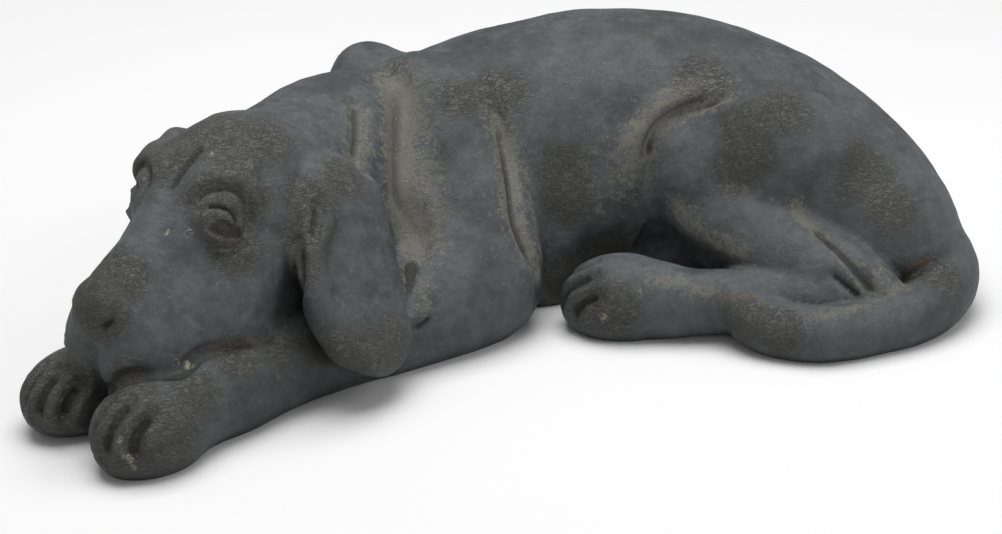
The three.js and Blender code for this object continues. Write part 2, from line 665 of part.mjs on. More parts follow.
    version[a] += version[b] + 1;
    for (const other of neighbours(a)) consider(a, other);
  }
  return {
    points: points.map((_, i) => [x[i], y[i], z[i]]),
    faces: faces.map((_, id) => [...face.slice(3 * id, 3 * id + 3)]).filter((_, id) => alive[id]),
  };
}

function casting() {
  const low = [-56, -29, -0.42 * GRID];
  const high = [53, 32, 28];
  const rough = outerShell(triangulate(skin, low, high, GRID));
  rough.points = rough.points.map(([x, y, z]) => [x, y, Math.abs(z) < 1e-3 ? 0 : z]);
  const used = new Map();
  rough.faces.flat().forEach(i => used.has(i) || used.set(i, used.size));
  const kept = { points: [...used.keys()].map(i => rough.points[i]), faces: [] };
  kept.faces = rough.faces.map(face => face.map(i => used.get(i)));
  const { points, faces } = simplify(kept, FACES);
  const reach = [0, 1, 2].map(k => faces.flat().reduce(
    ([least, most], i) => [Math.min(least, points[i][k]), Math.max(most, points[i][k])],
    [Infinity, -Infinity],
  ));
  const scale = [LENGTH, WIDTH, HEIGHT].map((whole, k) => whole / (reach[k][1] - reach[k][0]));
  const middle = [(reach[0][0] + reach[0][1]) / 2, (reach[1][0] + reach[1][1]) / 2, 0];
  const corners = faces.flat().flatMap(i => points[i].map((value, k) => (value - middle[k]) * scale[k]));
  const geometry = new THREE.BufferGeometry();
  geometry.setAttribute("position", new THREE.Float32BufferAttribute(corners, 3));
  geometry.computeVertexNormals();
  return geometry;
}

const dog = new THREE.Mesh(casting(), new THREE.MeshStandardMaterial(STONE));
dog.name = "lying_dog";

const statue = new THREE.Group();
statue.name = "lying_dog_statue";
statue.add(dog);

export default statue;
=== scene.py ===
import json
import math
import bpy
import numpy as np
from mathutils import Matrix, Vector

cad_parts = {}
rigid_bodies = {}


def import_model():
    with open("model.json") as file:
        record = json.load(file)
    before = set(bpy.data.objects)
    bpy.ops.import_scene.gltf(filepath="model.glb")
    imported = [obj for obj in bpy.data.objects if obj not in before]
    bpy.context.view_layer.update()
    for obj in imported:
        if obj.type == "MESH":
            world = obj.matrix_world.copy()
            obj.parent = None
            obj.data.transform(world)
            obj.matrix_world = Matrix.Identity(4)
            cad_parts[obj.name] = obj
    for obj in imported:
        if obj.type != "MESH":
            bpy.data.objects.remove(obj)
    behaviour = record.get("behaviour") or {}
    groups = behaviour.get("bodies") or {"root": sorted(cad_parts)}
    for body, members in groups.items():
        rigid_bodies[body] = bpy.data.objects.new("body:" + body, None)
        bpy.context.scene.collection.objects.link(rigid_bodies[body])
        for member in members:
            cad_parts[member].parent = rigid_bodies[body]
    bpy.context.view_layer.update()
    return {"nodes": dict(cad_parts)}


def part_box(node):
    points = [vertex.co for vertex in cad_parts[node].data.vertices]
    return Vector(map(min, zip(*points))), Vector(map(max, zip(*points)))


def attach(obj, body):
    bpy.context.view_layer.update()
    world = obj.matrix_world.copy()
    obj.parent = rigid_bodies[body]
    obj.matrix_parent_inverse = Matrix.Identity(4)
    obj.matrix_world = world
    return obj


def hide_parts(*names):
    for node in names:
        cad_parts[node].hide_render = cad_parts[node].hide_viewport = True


for thing in list(bpy.data.objects):  # an empty scene to begin with
    bpy.data.objects.remove(thing)
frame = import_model()

# The dog is modelled in units of about a hundredth of its length, x toward the tail, y away from the
# side that the legs lie out to, z up.
dog = {
    "lowest": (-53.4119, -25.6683, 0.0),   # corners of the solid in the body's own units
    "highest": (49.1118, 27.2005, 27.5864),
    "headTurn": 33.0,                  # degrees
    "headDrop": 22.0,                  # degrees
    "farStep": 0.95,                   # length of the mesh edges over the back
    "nearStep": 0.60,                  # over the flank that the head and legs lie out to
    "grooveStep": 0.29,                # and along the carved lines
    "underStep": 2.5,                  # underneath, where it is flat
    "fineStep": [                      # places x, y, z, radius where they are shorter, and by how much
        ([(-38.5, -8, 17, 11)], 0.42), ([(-44, -18, 5, 7), (-49, -10, 4.5, 6), (8, -10.5, 4.5, 6)], 0.32),
        ([(-33.6, -12, 19.2, 3), (-40.6, -4.4, 18.6, 3)], 0.42), ([(-24, -11, 18, 5)], 0.25),
    ],
}
lowCorner, highCorner = (np.array(corner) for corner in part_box("lying_dog"))
bodyLow, bodyHigh = np.array(dog["lowest"]), np.array(dog["highest"])
unit = (highCorner - lowCorner) / (bodyHigh - bodyLow)


def vec(*values):
    return np.array(values, dtype=float)


def toUnit(v):
    return v / np.linalg.norm(v)


def axesOf(turn=0, rise=0, roll=0):
    # along, across and up, from a turn about z, a rise and a roll
    cy, sy = math.cos(math.radians(turn)), math.sin(math.radians(turn))
    cp, sp = math.cos(math.radians(rise)), math.sin(math.radians(rise))
    cr, sr = math.cos(math.radians(roll)), math.sin(math.radians(roll))
    across, up = vec(-sy, cy, 0), vec(-cy * sp, -sy * sp, cp)
    return np.array([vec(cy * cp, sy * cp, sp), across * cr + up * sr, up * cr - across * sr])


def blend(a, b, soft):
    # the smaller distance, with a round valley of the width soft where the two are close
    near = np.maximum(soft - np.abs(a - b), 0) / soft
    return np.minimum(a, b) - near * near * soft * 0.25


def length(v):
    return np.sqrt(np.einsum("ij,ij->i", v, v))


# Every mass is a dictionary: how softly it joins, a ball round it, and its distance as a function of
# an array of points.
def limb(start, startRadius, end, endRadius, soft=1):
    # distance to the nearest point of the line, less a radius that runs from one end to the other
    start, end = np.array(start, float), np.array(end, float)
    way = end - start
    scale = 1 / (way @ way)

    def distance(p):
        t = np.clip(((p - start) @ way) * scale, 0, 1)
        return length(p - start - t[:, None] * way) - startRadius - t * (endRadius - startRadius)
    reach = np.linalg.norm(way) / 2 + max(startRadius, endRadius)
    return {"soft": soft, "middle": (start + end) / 2, "reach": reach, "distance": distance}


def muscle(at, radii, axes=None, soft=1):
    # egg: the length of the point in egg radii, less one, over the slope of that length
    at, radii = np.array(at, float), np.array(radii, float)
    axes = axesOf() if axes is None else axes

    def distance(p):
        local = ((p - at) @ axes.T) / radii
        near = length(local)
        slope = np.maximum(length(local / radii), 1e-9)
        return near * (near - 1) / slope
    return {"soft": soft, "middle": at, "reach": radii.max(), "distance": distance}


def curve(rows, steps):
    # smooth curve through rows of numbers, each stretch a cubic that looks one row back and one ahead
    rows = np.array(rows, float)
    before = rows[np.maximum(np.arange(len(rows) - 1) - 1, 0)]
    here, following = rows[:-1], rows[1:]
    after = rows[np.minimum(np.arange(len(rows) - 1) + 2, len(rows) - 1)]
    t = (np.arange(steps) / steps)[None, :, None]
    bend = (2 * before - 5 * here + 4 * following - after)[:, None]
    twist = (3 * here - before - 3 * following + after)[:, None]
    out = here[:, None] + 0.5 * t * ((following - before)[:, None] + t * (bend + t * twist))
    return np.vstack([out.reshape(-1, rows.shape[1]), rows[-1:]])


def join(soft, masses):
    # masses joined one after the other; a mass is left out where it is too far off to matter
    low = np.min([m["middle"] - m["reach"] for m in masses], axis=0)
    high = np.max([m["middle"] + m["reach"] for m in masses], axis=0)
    middle = (low + high) / 2
    reach = max(np.linalg.norm(m["middle"] - middle) + m["reach"] for m in masses)

    def distance(p):
        found = np.full(len(p), 1e9)
        for m in masses:
            close = np.nonzero(length(p - m["middle"]) - m["reach"] < found + m["soft"])[0]
            if len(close):
                found[close] = blend(found[close], m["distance"](p[close]), m["soft"])
        return found
    return {"soft": soft, "middle": middle, "reach": reach, "distance": distance}


def run(rows, soft=1, valley=2):
    # limbs along a smooth curve; each row is x, y, z and the radius there
    rows = curve(rows, 5)
    return join(soft, [limb(a[:3], a[3], b[:3], b[3], valley) for a, b in zip(rows[:-1], rows[1:])])


# frame of the head: forward along the muzzle, out to the near side, up through the skull
turn, drop = math.radians(dog["headTurn"]), math.radians(dog["headDrop"])
forward = vec(-math.cos(turn) * math.cos(drop), -math.sin(turn) * math.cos(drop), -math.sin(drop))
outward = vec(math.sin(turn), -math.cos(turn), 0)
headAxes = np.array([forward, outward, np.cross(forward, outward)])
betweenEyes = vec(-35.9, -6.3, 20.4)


def headWay(v):
    return np.array(v, float) @ headAxes


def inHead(f, s, u):
    return betweenEyes + headWay((f, s, u))


def bothSides(make):
    return [*make(1), *make(-1)]


def mirrored(v, side):
    return (v[0], v[1] * side, v[2])


# the same masses as the solid that this skin covers
trunk = join(3, [
    run([(-5.9, 13.8, 11.1, 9.0), (5.2, 14, 12.6, 10.0), (17.2, 11.6, 13.6, 10.7),
         (27.2, 7.1, 13, 9.6), (35.2, -0.8, 10.4, 8.1), (41, -9.5, 5.6, 5.7)], 1, 6),
    muscle((11.5, 9.8, 7.6), (13, 11.2, 9.6), axesOf(-8), 4),
    muscle((20, 3.5, 3.5), (10, 6.5, 6.5), axesOf(-30), 3),
    muscle((5.5, 4.5, 2.8), (7, 6.2, 6), axesOf(0), 3),
])
neck = join(3, [
    run([(*inHead(-9, 0, -5.4), 5.6), (-15.8, 9.8, 16, 7.8), (-8, 14.5, 12.6, 8.8)], 1, 3),
    limb(inHead(-8, 0, -7), 6, (-9, 8, 8.4), 8.2, 4),
    muscle((-22, 0, 2.5), (18, 8, 5), axesOf(24), 3),
])
farShoulder = limb((-7.8, 20.6, 20.4), 4.3, (-10, 20.5, 6.5), 5.4, 2.5)
paws = {
    "near": {"at": vec(-42.6, -18, 3.3), "radii": (6.9, 5.0, 4.9), "turn": 28},
    "far": {"at": vec(-47.5, -8.2, 3.4), "radii": (6.5, 4.6, 4.2), "turn": 30},
    "hind": {"at": vec(9.7, -8.9, 3.4), "radii": (6.7, 4.6, 4.8), "turn": -22},
}


def pad(paw):
    return muscle(paw["at"], paw["radii"], axesOf(paw["turn"]), 2.5)


nearForeleg = join(1, [
    run([(-4.8, 14, 20, 4.2), (-3.2, 9.6, 17, 5.6), (-2.7, 3.8, 10.6, 5.9),
         (-3.7, -1, 5.4, 5.6)], 2.5, 3),
    run([(-3.7, -2.6, 4.6, 5.7), (-14.5, -5.9, 4.3, 4.9), (-26, -9.4, 4.1, 4.1),
         (-36.8, -14.4, 3.7, 4.3)], 2.5, 2.5),
    muscle((-10, 3.5, 8.5), (6, 6, 6.6), axesOf(20), 3),
    pad(paws["near"]),
])
farForeleg = join(1, [limb((-12, 20, 4.2), 5, (-40, -2.5, 3.7), 4, 2), pad(paws["far"])])
head = join(1.2, [
    muscle(inHead(-6.8, -0.5, -3.8), (8.2, 7.8, 6.9), headAxes, 2),
    muscle(inHead(-2.6, -0.5, -1.2), (5.8, 5.6, 4.2), headAxes, 2.5),
    limb(inHead(0, 0, -4.2), 4.6, inHead(11.6, 0, -3.6), 3.6, 3),
    limb(inHead(2, -0.3, -1.3), 2.6, inHead(12.8, 0, -1.8), 2.3, 2),
    limb(inHead(-6, 0, -10.5), 5, inHead(9, 0, -9), 3.2, 2.5),
    *bothSides(lambda side: [
        muscle(inHead(9.8, 2.3 * side, -7.4), (7.5, 4.2, 5.4), headAxes, 1.8),
        muscle(inHead(2.8, 4.7 * side, -9.4), (7, 4.2, 6.2), headAxes, 2.5),
        muscle(inHead(-3.6, 4.8 * side, -8.6), (7.6, 4.6, 6.6), headAxes, 2.5),
        muscle(inHead(-1.5, 3.9 * side, -0.3), (3.4, 2.4, 1.8), headAxes, 2.5),
    ]),
])
nose = muscle(inHead(13.1, 0, -2.3), (2.3, 2.7, 2), headAxes, 1.6)

eye = {
    "at": (0.4, 4.9, -1.4), "ball": 1.75, "lid": 2.15,
    "upper": 24, "lower": 29,              # degrees that each lid stands open
    "crease": (2.3, 1.7, 175, 0),          # half width, half height and the two angles of each arc
    "fold": (3.3, 3.7, 205, -10),
    "brow": (4.5, 4.9, 190, 0),
    "across": vec(-0.215, 0.842, -0.495),  # from the inner corner to the outer one
    "gaze": vec(0.541, 0.524, 0.658),
    "up": vec(-0.813, 0.127, 0.568),
}


def lid(side, opening, sign):
    # shell round the eyeball, cut by a plane through the corners of the eye
    at = inHead(*mirrored(eye["at"], side))
    up = headWay(mirrored(eye["up"], side)) * sign * math.cos(math.radians(opening))
    away = up - headWay(mirrored(eye["gaze"], side)) * math.sin(math.radians(opening))
    shell = muscle(at, (eye["lid"],) * 3, headAxes, 0.3)
    inner = shell["distance"]
    return {**shell, "distance": lambda p: -blend(-inner(p), (p - at) @ away, 0.25)}


eyeballs = join(0.15, bothSides(lambda side: [
    muscle(inHead(*mirrored(eye["at"], side)), (eye["ball"],) * 3, headAxes, 0.1)]))
lids = join(0.4, bothSides(lambda side: [lid(side, eye["upper"], 1), lid(side, eye["lower"], -1)]))


def eyeArc(side, arc, out):
    # points round the eye: an oval in the plane of the eye, lifted toward the gaze
    wide, high, start, end = arc
    t = np.radians(np.linspace(start, end, 7))[:, None]
    ring = np.array(eye["at"]) + eye["across"] * wide * np.cos(t) + eye["up"] * high * np.sin(t)
    return betweenEyes + ((ring + eye["gaze"] * out) * (1, side, 1)) @ headAxes


earDown = toUnit(vec(0.08, -0.56, -0.83))
earOut = toUnit(np.cross(earDown, vec(0.84, 0.45, -0.28)))
earAxes = np.array([earDown, np.cross(earOut, earDown), earOut])
nearEar = join(0.8, [
    muscle((-19.8, -8.2, 14.6), (8.8, 5.6, 2.6), earAxes, 1.5),
    muscle((-19.8, -12.8, 8.6), (6.4, 6.2, 2.3), earAxes, 1.5),
    muscle((-19.4, -5.2, 17.8), (3.6, 4.8, 2.4), earAxes, 1.5),
    run([(-22.9, -5.4, 20.6, 1.6), (-24.2, -9.2, 18, 1.6), (-25.2, -12.8, 14.3, 1.5),
         (-25, -15.2, 10.3, 1.5), (-22.8, -15.4, 6.2, 1.4)], 1.2, 0.5),
])
farEar = join(1, [
    muscle(inHead(-7.5, -7.6, -7.6), (3.8, 2.2, 8.5), headAxes, 1),
    muscle(inHead(-4.6, -7.4, -1.4), (2.6, 1.8, 2.8), headAxes, 1),
])
thigh = join(1.2, [
    muscle((28.2, -5, 13.6), (11.6, 6.6, 10), axesOf(-34), 2),
    muscle((39, -11, 7.2), (8.7, 7.8, 7.9), axesOf(-45), 3),
    muscle((21.4, -2.4, 13.2), (5.8, 5.4, 6), axesOf(-40), 2),
])
shin = run([(22, -3.4, 10.8, 5), (27, -11, 6.6, 4.8), (33, -18, 4.2, 3.4)], 0.8, 2)
hindFoot = join(0.7, [limb((34, -19.3, 3.6), 3.2, (15, -12.1, 3.5), 3.5, 1.5), pad(paws["hind"])])
tail = run([(42.5, -10.6, 6, 4.9), (44, -16, 3.8, 3.6), (40.4, -20.4, 2.6, 2.7), (34.6, -22.5, 2.3, 2.4),
            (26.2, -22.5, 2.3, 2.4), (20.9, -18.8, 2.8, 2.2), (18.7, -14.4, 5.2, 1.5)], 0.6, 1.5)
body = join(0, [trunk, neck, farShoulder, farForeleg, nearForeleg, head, eyeballs, lids,
                nose, nearEar, farEar, thigh, shin, hindFoot, tail])


def slope(field, p, h=0.05):
    # value and slope of a field from its values at the four corners of a small tetrahedron
    corners = np.array([(1, -1, -1), (-1, -1, 1), (-1, 1, -1), (1, 1, 1)], float)
    values = np.array([field(p + h * c) for c in corners])
    return values.mean(axis=0), values.T @ corners / (4 * h)


def onSkin(p):
    # points moved onto the skin of the joined masses, down their slope
    for k in range(5):
        d, g = slope(body["distance"], p)
        p = p - d[:, None] * g / np.maximum(np.sum(g * g, axis=1), 0.2)[:, None]
    return p


def stroke(points, width, depth):
    # a line carved into the skin: depth times a bell curve of the distance, fading at both ends
    rows = onSkin(curve(points, 4))
    low, high = rows.min(axis=0) - 2.5 * width, rows.max(axis=0) + 2.5 * width
    count = len(rows) - 1

    def cut(p):
        out = np.zeros(len(p))
        inside = np.nonzero(np.all((p > low) & (p < high), axis=1))[0]
        if not len(inside):
            return out
        q = p[inside]
        nearest, share = np.full(len(q), 1e9), np.zeros(len(q))
        for i in range(count):
            way = rows[i + 1] - rows[i]
            t = np.clip(((q - rows[i]) @ way) / (way @ way), 0, 1)
            away = length(q - rows[i] - t[:, None] * way)
            closer = away < nearest
            nearest, share = np.where(closer, away, nearest), np.where(closer, (i + t) / count, share)
        fade = np.minimum(1, np.minimum(4 * share + 0.05, 4 * (1 - share) + 0.05))
        out[inside] = depth * fade * np.exp(-(nearest / width) ** 2)
        return out
    return cut


def toes(paw, shares, roll, width, depth):
    # a groove over the pad from the top down to the ground for each share of its width
    back, across, up = axesOf(paw["turn"], 0, roll)
    long, wide, high = paw["radii"]
    angles = np.radians([70, 42, 14, -16])[:, None]
    rest = [math.sqrt(1 - share * share) for share in shares]
    return [(paw["at"] + across * share * wide - back * long * r * np.cos(angles)
             + up * high * r * np.sin(angles), width, depth) for share, r in zip(shares, rest)]


# lines of the body that the dust and the rust follow as well
lines = {
    "shoulder": [(-7.1, 17.2, 23.5), (-8.8, 8, 22.4), (-11.3, 0.2, 16.6), (-10.8, -2.3, 11.9),
                 (-12.3, -8, 9)],
    "neck": [(-14.6, 6.4, 23.7), (-15.8, 0.6, 21.5), (-17.1, -5.7, 19.7)],
    "elbow": [(0.8, 6, 22.7), (0.4, 1.2, 16.9), (-0.8, -3.7, 11), (0.2, -5.6, 4.2)],
    "flank": [(27, -0.8, 24), (19.4, -1.5, 22.1), (15.8, -2, 20), (13.2, -2.2, 16.8), (12.8, -2.2, 9)],
    "thigh": [(26.6, -5.8, 23.4), (21.6, -3, 21.8), (17.4, -2.4, 20.3), (15.5, -2.8, 17.6),
              (15.1, -3, 11.5)],
    "belly": [(14.6, -3, 7), (17, -3, 6.2), (18.6, -6.4, 6.8)],
    "ham": [(26.8, -11.4, 14), (28.2, -13.4, 12.4), (29.9, -16.4, 9.9), (31.8, -20.7, 6.8),
            (33.4, -23, 5.2)],
    "hock": [(28.6, -18.6, 7.4), (29.7, -20.2, 6.4), (31.3, -22.6, 5)],
    "mouth": [(-46, -12, 5.4), (-44.8, -15.7, 6.9), (-42.3, -17.6, 7.9), (-39.7, -17.1, 7.8),
              (-37, -15, 7.6), (-33.2, -14.7, 8.2), (-30.1, -14.3, 8.4), (-26.8, -13.4, 8.4)],
    "earFront": [(-25.9, -11.2, 17.5), (-26.6, -13.2, 15), (-26.8, -13.8, 12.4), (-26.2, -13, 9.4)],
    "earBack": [(-12.4, -4.4, 10.8), (-13.8, -9.6, 9.3), (-14.7, -12.4, 6.8)],
}
cuts = [  # points of each carved line, its half width and its depth; below zero it is raised
    *toes(paws["near"], (-0.62, -0.12, 0.42), 0, 0.72, 1.9),
    *toes(paws["far"], (-0.7, -0.2, 0.34), 0, 0.7, 1.8),
    *toes(paws["hind"], (-0.6, -0.12, 0.4), 22, 0.66, 1.8),
    *bothSides(lambda side: [
        (eyeArc(side, eye["fold"], 0.8), 0.55, 0.6),
        (eyeArc(side, eye["brow"], 0.3), 0.8, -0.45),
        (eyeArc(side, eye["crease"], 1.6), 0.3, 0.4),
        # nostril, crease behind the eye, hollow of the temple and rim of the nose
        ([inHead(15, 1.4 * side, -2.3), inHead(14.6, 2.1 * side, -1.9),
          inHead(13.9, 2.5 * side, -1.6)], 0.4, 0.6),
        ([inHead(-0.1, 7.3 * side, -3.2), inHead(-1.7, 7.8 * side, -3.4),
          inHead(-3.8, 8.7 * side, -4.6)], 0.8, 0.2),
        ([inHead(-10, 3.3 * side, 1.1), inHead(-7.6, 4.8 * side, 0.4),
          inHead(-5.1, 6 * side, -0.4)], 1.2, 0.2),
        ([inHead(12, 1.9 * side, 0.3), inHead(11.8, 2.9 * side, -0.8), inHead(12.7, 3.3 * side, -2.1),
          inHead(14.6, 2.2 * side, -3.4)], 0.5, 0.25),
    ]),
    ([inHead(16, 0, -3.6), inHead(17, 0, -6), inHead(17, 0, -9)], 0.5, 0.45),
    ([inHead(2, 0, 1.2), inHead(-2, 0, 2.2), inHead(-6, 0, 2)], 0.9, 0.35),
    (lines["mouth"], 0.55, 1.1),
    (lines["shoulder"], 1.3, 1.5),
    (lines["neck"], 1.0, 0.8),
    (lines["elbow"], 0.8, 1.4),
    (lines["flank"], 1.1, -0.8),
    (lines["thigh"], 0.8, 1.1),
    (lines["belly"], 1.6, 2.2),
    (lines["ham"][1:], 0.8, 0.9),
    (lines["hock"], 0.5, 0.45),
    (lines["earBack"], 0.7, 1.1),
    ([(-14.4, -12.4, 6.4), (-13.5, -12.2, 5.6), (-11.7, -11.1, 6.8)], 0.5, 0.6),
    # rolled root of the ear, the hollow inside it and the crease down its front edge
    ([(-24.8, -8.6, 20.6), (-23.6, -8.2, 21), (-22.5, -8.6, 20.6), (-22, -9.6, 19.6), (-22.3, -11, 18.4),
      (-23.4, -12.3, 17.4), (-24.8, -13.5, 16.4)], 0.7, -0.6),
    ([(-24.1, -9.4, 19.8), (-23.8, -10.4, 19), (-24.4, -11.5, 18), (-25.4, -12.8, 16.4)], 0.7, 0.7),
    (lines["earFront"], 0.6, 0.9),
]
carving = [stroke(*cut) for cut in cuts]
deepCuts = [cut for cut in cuts if cut[2] > 0.3]
grooves = [stroke(way, 1.1 * width, 1) for way, width, depth in deepCuts if width < 0.9]


def rawSkin(p):
    # distance to the joined masses plus the carved lines, before the ground cuts them flat
    found = body["distance"](p)
    close = np.nonzero(np.abs(found) < 3)[0]
    q = p[close]
    for line in carving:
        found[close] += line(q)
    return found


def lineDepth(width, depth):
    # how far the bottom of a carved line lies under the masses: where the bell curve equals the
    # distance
    under = depth * np.linspace(0.01, 1, 200)
    return under[np.abs(under - width * np.sqrt(np.log(depth / under))).argmin()]


def inGroove(p):
    # 1 at the bottom of the carved lines: as far under the masses as a line reaches, and close to it
    under = -body["distance"](p)
    found = np.zeros(len(p))
    for way, width, depth in deepCuts:
        bottom = smooth(under / lineDepth(width, depth), 0.8, 1.0) * min(1, 0.8 / width)
        found = np.maximum(found, bottom * smooth(stroke(way, width, 1)(p), 0.05, 0.2))
    return found


def noise(p, size, seed=0):
    # random values on a lattice of the given size, blended smoothly between its eight corners
    q = p / size + 17.3 * seed
    cell = np.floor(q).astype(np.int64)
    t = q - cell
    t = t * t * (3 - 2 * t)
    total = np.zeros(len(p))
    for corner in np.ndindex(2, 2, 2):
        c = cell + corner
        key = (c[:, 0] * 73856093 ^ c[:, 1] * 19349663 ^ c[:, 2] * 83492791) & 0xFFFFFFFF
        key = (key ^ (key >> 13)) * 1274126177 & 0xFFFFFFFF
        total += ((key ^ (key >> 16)) & 65535) / 32767.5 * np.prod(np.where(corner, t, 1 - t), axis=1)
    return total - 1


def smooth(value, low, high):
    # 0 below low, 1 above high and an even curve between
    t = np.clip((value - low) / (high - low), 0, 1)
    return t * t * (3 - 2 * t)


def spots(p, places):
    # the strongest of several round spots x, y, z, radius, each a bell curve of the distance
    return np.max([np.exp(-np.sum((p - place[:3]) ** 2, axis=1) / place[3] ** 2)
                   for place in places], axis=0)


def splitEdges(points, faces, target):
    # an edge longer than the target at its middle gets a point there; a face with one, two or three
    # such edges becomes two, three or four
    count = len(points)
    ends = np.sort(faces[:, [0, 1, 1, 2, 2, 0]].reshape(-1, 2), axis=1)
    keys, index = np.unique(ends[:, 0] * count + ends[:, 1], return_inverse=True)
    low, high = keys // count, keys % count
    middle = (points[low] + points[high]) / 2
    longer = length(points[low] - points[high]) > target(middle)
    fresh = np.where(longer, np.cumsum(longer) - 1 + count, -1)[index.reshape(-1, 3)]
    marked = fresh >= 0
    split = marked.sum(axis=1)
    turn = np.where(split == 1, marked.argmax(axis=1),
                    np.where(split == 2, (~marked).argmax(axis=1) + 1, 0))
    order = (np.arange(3) + turn[:, None]) % 3
    a, b, c = np.take_along_axis(faces, order, 1).T
    ab, bc, ca = np.take_along_axis(fresh, order, 1).T
    none, one, two, three = (split == k for k in range(4))
    pieces = [np.stack([x[w] for x in face], axis=1) for w, face in (
        (none, (a, b, c)), (one, (a, ab, c)), (one, (ab, b, c)),
        (two, (ab, b, bc)), (two, (a, ab, bc)), (two, (a, bc, c)),
        (three, (a, ab, ca)), (three, (ab, b, bc)), (three, (ca, bc, c)), (three, (ab, bc, ca)))]
    return np.vstack([points, middle[longer]]), np.vstack(pieces)


def onGround(points, faces):
    # which points belong to the flat underside, and which of those to its rim
    flat = np.all(points[faces][:, :, 2] < 0.02, axis=1)
    under, above = np.zeros(len(points), bool), np.zeros(len(points), bool)
    under[faces[flat]], above[faces[~flat]] = True, True
    return under & ~above, under & above


def pull(points, faces):
    # each point steps down the slope onto the skin; the rim of the underside only sideways
    inner, rim = onGround(points, faces)
    free = ~inner
    d, g = slope(rawSkin, points[free])
    g[rim[free], 2] = 0
    step = d[:, None] * g / np.maximum(np.sum(g * g, axis=1), 0.1)[:, None]
    reach = length(step)[:, None]
    points[free] -= step * np.minimum(1, 0.6 / np.maximum(reach, 1e-9))
    points[rim | inner, 2] = 0
    points[:, 2] = np.maximum(points[:, 2], 0)
    return g, free


def relax(points, faces):
    # each point moves part of the way to the mean of its neighbours; points of the rim only along it
    inner, rim = onGround(points, faces)
    ends = faces[:, [0, 1, 1, 2, 2, 0]].reshape(-1, 2)
    total = np.array([np.bincount(ends[:, 0], points[ends[:, 1], k], len(points)) for k in range(3)]).T
    mean = total / np.maximum(np.bincount(ends[:, 0], minlength=len(points)), 1)[:, None]
    moved = points + 0.45 * (mean - points)
    moved[rim] = points[rim]
    moved[inner, 2] = 0
    return moved


def spacing(p):
    # length that an edge may have there: short round the eyes, nose, mouth and paws, long underneath
    step = dog["farStep"] + (dog["nearStep"] - dog["farStep"]) * smooth(-p[:, 1], -16, 2)
    for places, share in dog["fineStep"]:
        step = step * (1 - share * np.clip(1.5 * spots(p, places), 0, 1))
    carved = np.clip(2.5 * np.max([line(p) for line in grooves], axis=0), 0, 1)
    step = np.minimum(step, dog["farStep"] + (dog["grooveStep"] - dog["farStep"]) * carved)
    return np.where(p[:, 2] < 0.01, dog["underStep"], step)


def sculpt():
    # the solid's own surface split fine and pulled onto the masses it was cast from
    node = frame["nodes"]["lying_dog"].data
    flat = np.empty(len(node.vertices) * 3)
    node.vertices.foreach_get("co", flat)
    node.calc_loop_triangles()
    corners = np.empty(len(node.loop_triangles) * 3, np.int32)
    node.loop_triangles.foreach_get("vertices", corners)
    places, merged = np.unique(flat.reshape(-1, 3), axis=0, return_inverse=True)
    faces = merged.reshape(-1)[corners].reshape(-1, 3).astype(np.int64)
    points = (places - lowCorner) / unit + bodyLow
    for k in range(6):
        points, faces = splitEdges(points, faces, lambda p: spacing(p) * 1.25)
        if k > 1:
            points = relax(points, faces)
        pull(points, faces)
    for k in range(3):
        points = relax(points, faces)
        pull(points, faces)
    g, free = pull(points, faces)
    normals = np.tile(vec(0, 0, -1), (len(points), 1))
    normals[free] = g / np.maximum(length(g), 1e-9)[:, None]
    print("sculpted", len(points), "points", len(faces), "faces")
    return points, faces, normals


points, faces, normals = sculpt()

